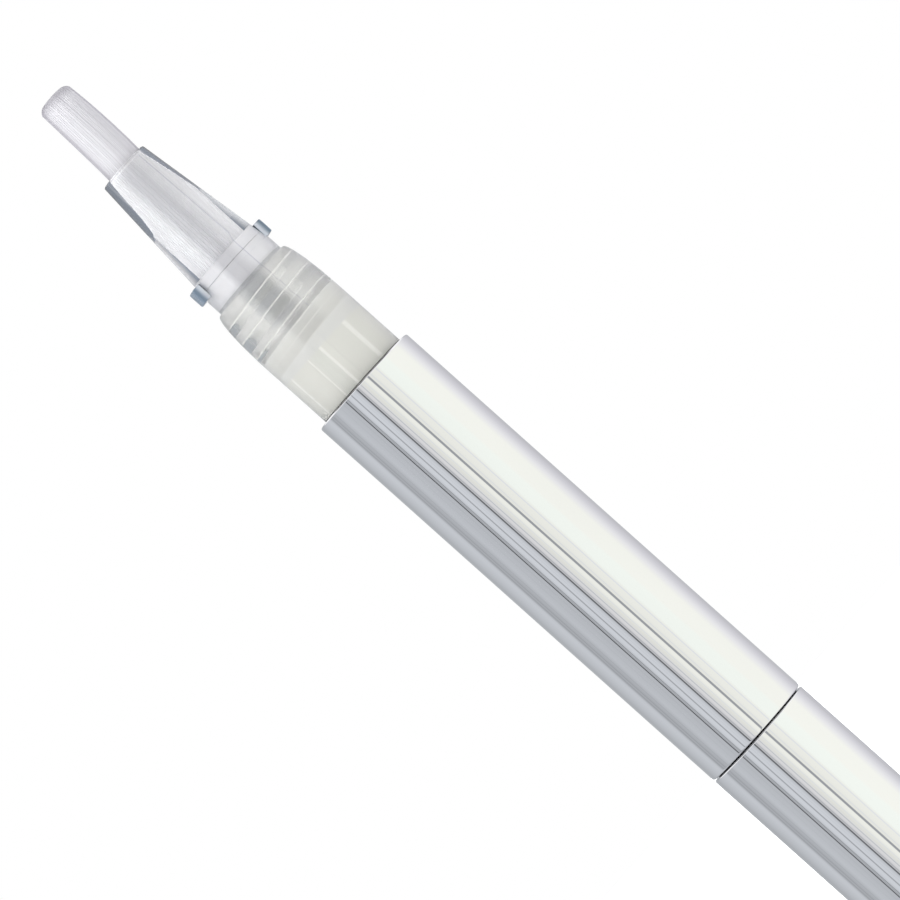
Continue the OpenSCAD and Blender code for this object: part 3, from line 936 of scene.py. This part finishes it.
@dataclass
class Nozzle:
    """The clear nozzle with its ribbed shank, its two lugs and its bore."""

    shank: Shank = field(default_factory=Shank)
    span: Span = node_span("nozzle")
    collar_front: float = field(default_factory=lambda: Span.of("collar").high)
    base_len: float = 1.8 * MM
    base_r: float = 4.19 * MM
    cone_rear_r: float = 4.09 * MM
    mouth_r: float = 2.72 * MM
    mouth_round: float = 0.16 * MM
    groove: float = 0.35 * MM
    ring_w: float = 0.34 * MM
    socket_r: float = 3.39 * MM
    bore_r: float = 2.24 * MM
    shoulder_depth: float = 11.6 * MM
    shoulder_len: float = 0.9 * MM
    lug_reach: float = 4.8 * MM
    lug_w: float = 2.1 * MM
    lug_len: float = 1.65 * MM
    lug_turn: float = 16.0
    lug_round: float = 0.15 * MM
    smooth_deg: float = 30.0
    socket_margin: float = 0.1 * MM
    groove_power: float = 0.7
    facing_rear: float = -0.9
    facing_in: float = -0.3
    oil_depth: float = 7.0 * MM
    oil_turns: tuple[float, ...] = (-110, -80, -68, -62, -57, -52, 58, 66, 76, 88, 102, 120)
    oil_depths: tuple[float, ...] = (7.0, 6.4, 4.8, 3.3, 1.7, 0.4, 0.4, 1.2, 2.8, 5.0, 6.6, 7.0)

    def build(self, groups: Groups) -> None:
        """Model and dress the nozzle.

        Args:
            groups: The shared node groups.
        """
        piece = turned("clear_nozzle", self.outline())
        self.bend_oil_line(piece)
        self.shank.tilt_grooves(piece, self.socket_r + self.socket_margin, self.base_r + NEAR)
        for side in (0, 180):
            self.add_lug(piece, self.lug_turn + side)
        only(piece)
        bpy.ops.object.shade_smooth_by_angle(angle=math.radians(self.smooth_deg))
        finish_piece(piece, CLEAR.material(groups), Body.BARREL, Slot.CLEAR, "nozzle")
        finish_faces(piece, groups, NOZZLE_FINISHES, self.finish_of)

    def oil_line(self, x: float, y: float) -> float:
        """Height up to which oil wets the bore, at one place round it.

        The oil has crept nearly to the mouth on one side and stands lower on the others.

        Args:
            x: Place round the bore.
            y: Place round the bore.

        Returns:
            The height.
        """
        turn = math.degrees(math.atan2(x, -y))
        depth = self.oil_depths[0] if turn < self.oil_turns[0] else self.oil_depths[-1]
        stops = list(zip(self.oil_turns, self.oil_depths))
        for (start, low), (end, high) in zip(stops, stops[1:]):
            if start <= turn < end:
                depth = low + (high - low) * (turn - start) / (end - start)
        return self.span.high - depth * MM

    def bend_oil_line(self, piece: Piece) -> None:
        """Move the bore's ring at the oil line to the oil's uneven height.

        Args:
            piece: The nozzle.
        """
        for vertex in piece.data.vertices:
            on_bore = abs(vertex.co.xy.length - self.bore_r) < NEAR
            if on_bore and abs(vertex.co.z - (self.span.high - self.oil_depth)) < NEAR:
                vertex.co.z = self.oil_line(vertex.co.x, vertex.co.y)

    def finish_of(self, face: Face) -> Finish:
        """Pick one face's finish.

        Args:
            face: The face.

        Returns:
            One of the nozzle's finishes.
        """
        middle = face.center
        radius = middle.xy.length
        if face.normal.z < self.facing_rear and middle.z < self.shank.low + NEAR:
            return SEALED
        if radius > self.socket_r + self.socket_margin:
            if middle.z < self.collar_front:
                return TOUCHING_BAND if self.shank.touches(self.shank.level(middle)) else GROOVE
            # The ring just ahead of the collar takes painted shade.
            if middle.z < self.collar_front + self.ring_w:
                return BASE_SHADE_RING
        if radius > self.base_r + NEAR:
            return LUG
        faces_in = face.normal.xy.dot(middle.xy.normalized()) < self.facing_in
        return WETTED if faces_in and middle.z < self.oil_line(middle.x, middle.y) - NEAR else CLEAR

    def outline(self) -> Outline:
        """The closed outline of the nozzle's wall.

        Returns:
            Its points, up the outside and down the bore.
        """
        low, mouth = self.span.low, self.span.high
        soft = self.groove / 5
        points: Outline = [(self.socket_r, low), (self.base_r, low)]
        for rear, front in self.shank.grooves():
            points += self.groove_points(rear, front)
        base_front = self.collar_front + self.base_len
        points += [(self.base_r, self.collar_front), (self.base_r, self.collar_front + self.ring_w)]
        points += [(self.base_r, base_front - soft)]
        points += [(self.cone_rear_r, base_front)]
        points += arc((self.mouth_r - self.mouth_round, mouth - self.mouth_round), self.mouth_round, 5, 90)
        shoulder = mouth - self.shoulder_depth
        points += [(self.bore_r + soft, mouth), (self.bore_r, mouth - soft)]
        points += [(self.bore_r, mouth - self.oil_depth), (self.bore_r, shoulder)]
        points += [(self.socket_r, shoulder - self.shoulder_len)]
        return points

    def groove_points(self, rear: float, front: float, steps: int = 8) -> Outline:
        """Points of one rounded groove round the shank.

        Args:
            rear: Height of its rear edge.
            front: Height of its front edge.
            steps: Number of steps.

        Returns:
            The points, from rear to front.
        """
        points: Outline = []
        for step in range(steps + 1):
            share = step / steps
            depth = self.groove * math.sin(math.pi * share) ** self.groove_power
            points.append((self.base_r - depth, rear + (front - rear) * share))
        return points

    def add_lug(self, piece: Piece, turn: float) -> None:
        """Join one lug to the nozzle.

        Args:
            piece: The nozzle.
            turn: Angle of the lug about the axis, in degrees.
        """
        base_front = self.collar_front + self.base_len
        inner = (self.socket_r + self.base_r) / 2
        lug = block(
            "lug",
            Vector((inner, -self.lug_w / 2, base_front)),
            Vector((self.lug_reach, self.lug_w / 2, base_front + self.lug_len)),
            self.lug_round,
        )
        lug.data.transform(Matrix.Rotation(math.radians(turn), 4, "Z"))
        only(piece)
        joined = piece.modifiers.new("lug", "BOOLEAN")
        joined.operation = "UNION"
        joined.solver = "EXACT"
        joined.object = lug
        bpy.ops.object.modifier_apply(modifier=joined.name)
        bpy.data.objects.remove(lug, do_unlink=True)


@dataclass
class BrushTuft:
    """The tuft of nylon bristles on its fused root."""

    span: Span = node_span("bristles")
    mouth: float = field(default_factory=lambda: Span.of("nozzle").high)
    root_t: float = 1.1 * MM
    hole_r: float = 0.43 * MM
    mouth_r: float = 2.07 * MM
    end_r: float = 1.92 * MM
    strand_r: float = 0.06 * MM
    strands: int = 1500
    sides: int = 5
    crown: float = 0.55 * MM
    lean_at_mouth: float = 0.15 * MM
    lean: float = 0.33 * MM
    droop: float = 0.1 * MM
    drift: float = 0.002 * MM
    uneven_mm: float = 0.02
    taper: float = 0.1
    seed: int = 7
    tone: float = 0.04
    tone_spread: float = 0.04
    tone_limit: float = 0.17
    root_shade: float = 0.2
    # Painted shade: the part outside the nozzle, the flanks towards ±X, the outermost edges and the tip are
    # darkened.
    outside_painted_shade: float = 0.53
    flank_painted_shade: float = 0.22
    edge_painted_shade: float = 0.36
    tip_painted_shade: float = 0.24
    tip_from: float = 0.99
    streak_deg: float = 12.0
    streak_width: float = 14.0
    streak_shade: float = 0.08
    outer_levels: tuple[float, ...] = (0.0, 0.02, 0.2, 0.4, 0.6, 0.8, 0.92, 1.0)
    shades: list[float] = field(default_factory=list)

    def build(self, groups: Groups) -> None:
        """Model and dress the tuft.

        Args:
            groups: The shared node groups.
        """
        root = turned("bristle_tuft", self.root_outline(), sides=64)
        self.shade_points(root.data, [self.root_shade] * len(root.data.vertices))
        mesh = bpy.data.meshes.new("strands")
        points, faces = self.strand_mesh()
        mesh.from_pydata(points, [], faces)
        self.shade_points(mesh, self.shades)
        for polygon in mesh.polygons:
            polygon.use_smooth = len(polygon.vertices) == 4
        mesh.update()
        strands = bpy.data.objects.new("strands", mesh)
        bpy.context.collection.objects.link(strands)
        only(root)
        strands.select_set(True)
        bpy.ops.object.join()
        finish_piece(root, NYLON.material(groups), Body.BARREL, Slot.NYLON, "bristles")

    @staticmethod
    def shade_points(mesh: bpy.types.Mesh, values: list[float]) -> None:
        """Keep the shade of each of a mesh's points with it."""
        mesh.attributes.new(NYLON.shade, "FLOAT", "POINT").data.foreach_set("value", values)

    def root_outline(self) -> Outline:
        """The closed outline of the fused root.

        Returns:
            Its points.
        """
        low, high = self.span.low, self.span.low + self.root_t
        soft = self.root_t / 50
        outer = self.span.radius
        return [(self.hole_r, low), (outer - soft, low), (outer, low + soft), (outer, high - soft),
                (outer - soft, high), (self.hole_r, high)]

    @property
    def mouth_level(self) -> float:
        """Share of the tuft's length that lies inside the nozzle."""
        return (self.mouth - self.span.low) / self.span.length

    @property
    def levels(self) -> list[float]:
        """Shares of the tuft's length at which the strands have rings."""
        start = self.mouth_level
        return [0.0, start / 2] + [start + (1 - start) * level for level in self.outer_levels]

    def outside(self, level: float) -> float:
        """How far out of the nozzle a level lies, from 0 at the mouth to 1 at the end."""
        return max(0.0, (level - self.mouth_level) / (1 - self.mouth_level))

    def strand_mesh(self) -> tuple[list[tuple[float, float, float]], list[tuple[int, ...]]]:
        """Work out the points and faces of all strands.

        Returns:
            The points and the faces.
        """
        chance = random.Random(self.seed)
        points: list[tuple[float, float, float]] = []
        faces: list[tuple[int, ...]] = []
        golden = math.pi * (3 - math.sqrt(5))
        for index in range(self.strands):
            share = math.sqrt((index + 0.5) / self.strands)
            angle = index * golden
            length = self.span.length - self.crown * share ** 6 - chance.uniform(0, self.uneven_mm) * MM
            drift = (chance.gauss(0, self.drift), chance.gauss(0, self.drift))
            self.add_strand(points, faces, share, angle, length, drift)
            tone = max(0.0, min(self.tone_limit, chance.gauss(self.tone, self.tone_spread)))
            from_streak = (math.degrees(angle) + 90 - self.streak_deg + 180) % 360 - 180
            tone += self.streak_shade * math.exp(-(from_streak / self.streak_width) ** 2)
            # Outside the nozzle each strand takes painted shade, more on the flanks towards ±X, at the edges
            # and at the tip.
            outside_tone_and_shade = tone + self.outside_painted_shade + self.flank_painted_shade * share * math.cos(angle) ** 4
            outside_tone_and_shade += self.edge_painted_shade * share ** 4 * math.cos(angle) ** 16
            for level in self.levels:
                shade = outside_tone_and_shade if self.outside(level) > 0 else tone
                if self.outside(level) > self.tip_from:
                    shade += self.tip_painted_shade
                self.shades += [shade] * self.sides
        return points, faces

    def add_strand(
        self, points: list, faces: list, share: float, angle: float, length: float,
        drift: tuple[float, float],
    ) -> None:
        """Add one strand's rings and faces.

        Args:
            points: Points so far.
            faces: Faces so far.
            share: How far out the strand stands, from 0 to 1.
            angle: Its angle about the axis.
            length: Its length.
            drift: How far its end strays sideways.
        """
        first = len(points)
        for level in self.levels:
            inside = min(1.0, level / self.mouth_level)
            out = self.outside(level)
            reach = self.mouth_r + (self.end_r - self.mouth_r) * out ** 3 - self.strand_r
            lean = self.lean_at_mouth * inside ** 2 + self.lean * out ** 0.5 - self.droop * out ** 4
            x = share * reach * math.cos(angle) + lean + drift[0] * out
            y = share * reach * math.sin(angle) + drift[1] * out
            z = self.span.low + length * level
            thick = self.strand_r * (1 - self.taper * level)
            for side in range(self.sides):
                turn = 2 * math.pi * side / self.sides + angle
                points.append((x + thick * math.cos(turn), y + thick * math.sin(turn), z))
        for ring in range(len(self.levels) - 1):
            for side in range(self.sides):
                low = first + ring * self.sides
                next_side = (side + 1) % self.sides
                high = low + self.sides
                faces.append((low + side, low + next_side, high + next_side, high + side))
        last = first + (len(self.levels) - 1) * self.sides
        faces.append(tuple(last + side for side in range(self.sides)))
        faces.append(tuple(first + side for side in reversed(range(self.sides))))


@dataclass
class InnerWorks:
    """The nodes inside the pen, which keep the frame's meshes and get their finishes."""

    finishes: dict[str, Finish] = field(default_factory=lambda: {
        "feed_tube": CLEAR,
        "tube_joint": WHITE_PLASTIC,
        "neck_seal": SEAL_RUBBER,
        "reservoir": NATURAL_PLASTIC,
        "piston": WHITE_PLASTIC,
        "lead_screw": WHITE_PLASTIC,
        "screw_nut": GREY_PLASTIC,
        "ratchet_ring": GREY_PLASTIC,
        "click_pawl": GREY_PLASTIC,
        "drive_tube": GREY_PLASTIC,
    })

    def build(self, groups: Groups) -> None:
        """Dress every inner node.

        Args:
            groups: The shared node groups.
        """
        for node, finish in self.finishes.items():
            piece = bpy.data.objects[node]
            piece.data.materials.clear()
            piece.data.materials.append(finish.material(groups))
            LOG.info("%s: finished as %s", node, finish.name)


class Tint(Enum):
    """Colour casts of the studio's walls and cards."""

    PLAIN = (1.0, 1.0, 1.0)
    COOL = (0.97, 1.01, 1.05)
    LILAC = (0.99, 0.985, 1.03)
    WARM = (1.0, 1.01, 0.925)
    MINT = (0.985, 1.03, 0.95)
    SLATE = (0.86, 0.97, 1.16)


@dataclass(frozen=True)
class Wall:
    """A place on the studio's wall: its angle about the pen, its level and its cast.

    Angles run from the camera's side of the pen towards +X, in degrees.
    """

    angle: float
    level: float
    tint: Tint = Tint.PLAIN

    def light(self) -> Colour:
        """Colour of the wall here, as a share of the brightest."""
        return tuple(self.level * part / BRIGHTEST for part in self.tint.value)


@dataclass(frozen=True)
class Flag:
    """A narrow card hung before the wall, which shows as a line along the pen."""

    angle: float
    width: float
    level: float


def hung(*runs: tuple) -> tuple[Wall, ...]:
    """List a wall's places from runs, each a cast with the angles and levels that have it."""
    return tuple(Wall(angle, level, tint) for tint, *places in runs for angle, level in places)


BRIGHTEST = 4.0
WALLS = hung(
    (Tint.COOL, (-180, 0.52), (-150, 0.54), (-128, 0.7), (-112, 0.79), (-105, 0.77), (-101, 0.56),
     (-91, 0.57), (-83, 0.66), (-77, 0.74), (-53, 0.67), (-46, 0.66), (-40, 0.88), (-26, 0.88),
     (-19, 0.68)),
    (Tint.PLAIN, (-16, 0.74), (-11, 0.96)),
    (Tint.WARM, (-2, 1.03), (6, 1.2), (17, 1.08), (24, 1.15), (34, 1.16)),
    (Tint.MINT, (39, 1.26), (60, 1.27)),
    (Tint.WARM, (66, 1.27), (98, 1.26)),
    (Tint.PLAIN, (112, 1.12)),
    (Tint.LILAC, (131, 0.88), (152, 0.68)),
    (Tint.COOL, (180, 0.52)),
)
FLAGS = (
    Flag(-99, 2.0, 0.48), Flag(-93, 1.6, 0.47), Flag(-85, 1.2, 0.55), Flag(-66, 0.9, 0.66),
    Flag(-57, 0.8, 0.62), Flag(-49.6, 2.0, 0.13), Flag(-46.8, 1.4, 0.5), Flag(-44.4, 1.3, 0.36),
    Flag(-33.4, 2.2, 0.52), Flag(-27.4, 0.8, 0.78), Flag(-18.6, 2.6, 0.2), Flag(-14.8, 1.2, 0.55),
    Flag(-7.7, 1.6, 0.72), Flag(1.0, 1.0, 0.98), Flag(12.2, 4.0, 0.46), Flag(19, 1.0, 0.97),
    Flag(33, 1.6, 1.02),
)
SOFT_LIGHT = hung(
    (Tint.SLATE, (-180, 0.24), (-135, 0.24)),
    (Tint.COOL, (-122, 0.5), (-105, 0.8)),
    (Tint.PLAIN, (-85, 1.7), (-60, 4.0), (-38, 2.7), (-10, 0.96), (30, 1.15), (60, 2.7), (85, 2.3)),
    (Tint.LILAC, (105, 1.0), (122, 0.5)),
    (Tint.SLATE, (135, 0.28), (180, 0.26)),
)


@dataclass
class Studio:
    """The camera, the pale floor and the soft light round the pen."""

    eye_distance: float = 700 * MM
    eye_height: float = 57.1 * MM
    aim: tuple[float, float, float] = (0.62 * MM, 0.0, 69.12 * MM)
    roll_deg: float = 48.23
    view_deg: float = 6.883
    floor_size: float = 1.6
    ceiling_levels: tuple[float, float] = (0.04, 0.5)
    ceiling_window: tuple[float, float] = (12.0, 70.0)
    cornice_from: float = 0.38
    cornice_level: float = 1.3
    ceiling_from: float = 0.75
    flag_edge: float = 0.8
    ceiling_edge: float = 0.05
    window_edge: float = 12.0
    overhead_level: float = 1.4
    overhead_from: tuple[float, float] = (0.5, 0.95)
    through_from: float = 0.5
    floor_shade: Colour = (0.93, 0.93, 0.93)
    floor_roughness: float = 0.9
    floor_glow: float = 0.4

    def build(self) -> None:
        """Set up the camera, the floor, the light and the view's colours."""
        self.add_camera()
        self.add_floor()
        self.light_world()
        bpy.context.scene.view_settings.view_transform = "Standard"

    def add_camera(self) -> None:
        """Add the camera, rolled so that the pen's tip points up and left."""
        eye = Vector((self.aim[0], -self.eye_distance, self.eye_height))
        forward = (Vector(self.aim) - eye).normalized()
        up = (Vector((0, 0, 1)) - forward * forward.z).normalized()
        right = forward.cross(up)
        roll = math.radians(self.roll_deg)
        rolled_up = up * math.cos(roll) + right * math.sin(roll)
        rolled_right = right * math.cos(roll) - up * math.sin(roll)
        data = bpy.data.cameras.new("camera")
        data.angle = math.radians(self.view_deg)
        data.clip_start = 0.01
        camera = bpy.data.objects.new("camera", data)
        camera.matrix_world = Matrix((
            (rolled_right.x, rolled_up.x, -forward.x, eye.x),
            (rolled_right.y, rolled_up.y, -forward.y, eye.y),
            (rolled_right.z, rolled_up.z, -forward.z, eye.z),
            (0, 0, 0, 1),
        ))
        bpy.context.collection.objects.link(camera)
        bpy.context.scene.camera = camera

    def add_floor(self) -> None:
        """Add the floor, which neither the polished shells nor the clear parts show."""
        bpy.ops.object.select_all(action="DESELECT")
        bpy.ops.mesh.primitive_plane_add(size=self.floor_size)
        floor = bpy.context.object
        floor.name = "studio_floor"
        material = bpy.data.materials.new("pale_floor")
        material.use_nodes = True
        shader = material.node_tree.nodes["Principled BSDF"]
        values = {
            "Base Color": (*self.floor_shade, 1), "Roughness": self.floor_roughness,
            "Emission Color": (1, 1, 1, 1), "Emission Strength": self.floor_glow}
        for name, value in values.items():
            shader.inputs[name].default_value = value
        floor.data.materials.append(material)
        floor.visible_glossy = False
        floor.visible_transmission = False

    def light_world(self) -> None:
        """Light the studio by walls and cards that only the surfaces see."""
        world = bpy.data.worlds.new("studio")
        bpy.context.scene.world = world
        world.use_nodes = True
        world.node_tree.nodes.clear()
        wires = Wiring(world.node_tree)
        across, away, height = wires.place("Generated")
        degrees = wires.turn(across, away)
        light = self.hang_walls(wires, degrees, WALLS)
        for flag in FLAGS:
            light = self.hang_flag(wires, degrees, light, flag)
        ceiling = wires.rise(height, self.ceiling_from, self.ceiling_edge)
        cornice = wires.rise(height, self.cornice_from, self.ceiling_edge)
        light = wires.mixed(cornice, light, (*(self.cornice_level / BRIGHTEST,) * 3, 1.0))
        dark, dim = (level / BRIGHTEST for level in self.ceiling_levels)
        first, second = self.ceiling_window
        opened = wires.rise(degrees, first, self.window_edge, dark, dim)
        closed = wires.rise(degrees, second, self.window_edge, dim, dark)
        light = wires.mixed(ceiling, light, wires.sum_of("MINIMUM", opened, closed))
        soft = self.hang_walls(wires, degrees, SOFT_LIGHT)
        slope = wires.stepped(wires.sum_of("ABSOLUTE", height), *self.overhead_from, 0.0, 1.0)
        soft = wires.mixed(slope, soft, (*(self.overhead_level / BRIGHTEST,) * 3, 1.0))
        rays = wires.node("ShaderNodeLightPath")
        glossy, reflected = (rays.outputs[f"Is {kind} Ray"] for kind in ("Glossy", "Reflection"))
        mirrored = wires.sum_of("MULTIPLY", glossy, reflected)
        through = wires.sum_of("GREATER_THAN", rays.outputs["Transmission Depth"], self.through_from)
        mirrored = wires.sum_of("MULTIPLY", mirrored, wires.sum_of("SUBTRACT", 1.0, through))
        light = wires.mixed(mirrored, soft, light)
        cards = wires.fed("ShaderNodeBackground", {"Strength": BRIGHTEST, "Color": light})
        plain = wires.fed("ShaderNodeBackground", {"Color": (1, 1, 1, 1)})
        mix = wires.filled(
            wires.node("ShaderNodeMixShader"), rays.outputs["Is Camera Ray"], cards.outputs[0],
            plain.outputs[0])
        wires.fed("ShaderNodeOutputWorld", {"Surface": mix.outputs[0]})

    def hang_walls(
        self, wires: Wiring, degrees: Socket, walls: tuple[Wall, ...],
    ) -> Socket:
        """Colour the studio's wall by the angle about the pen."""
        turn = wires.sum_of("ADD", wires.sum_of("DIVIDE", degrees, 360.0), 0.5)
        return wires.ramp(turn, [(wall.angle / 360 + 0.5, wall.light()) for wall in walls])

    def hang_flag(
        self, wires: Wiring, degrees: Socket, light: Socket, flag: Flag,
    ) -> Socket:
        """Hang one narrow card before the wall.

        Args:
            wires: The world's wiring.
            degrees: Angle about the pen.
            light: Colour of what lies behind.
            flag: The card.

        Returns:
            The colour with the card.
        """
        half, soft = flag.width / 2, self.flag_edge / 2
        mask = wires.line(degrees, flag.angle, max(0.0, half - soft), half + soft)
        shade = tuple(flag.level * part / BRIGHTEST for part in Tint.COOL.value)
        return wires.mixed(mask, light, (*shade, 1.0))


def main() -> None:
    """Build the studio and every piece of the pen."""
    logging.basicConfig(level=logging.INFO, format="%(name)s: %(message)s")
    Studio().build()
    groups = Groups()
    for part in (Shells(), Collar(), Nozzle(), BrushTuft(), InnerWorks()):
        part.build(groups)


if __name__ == "__main__":
    main()
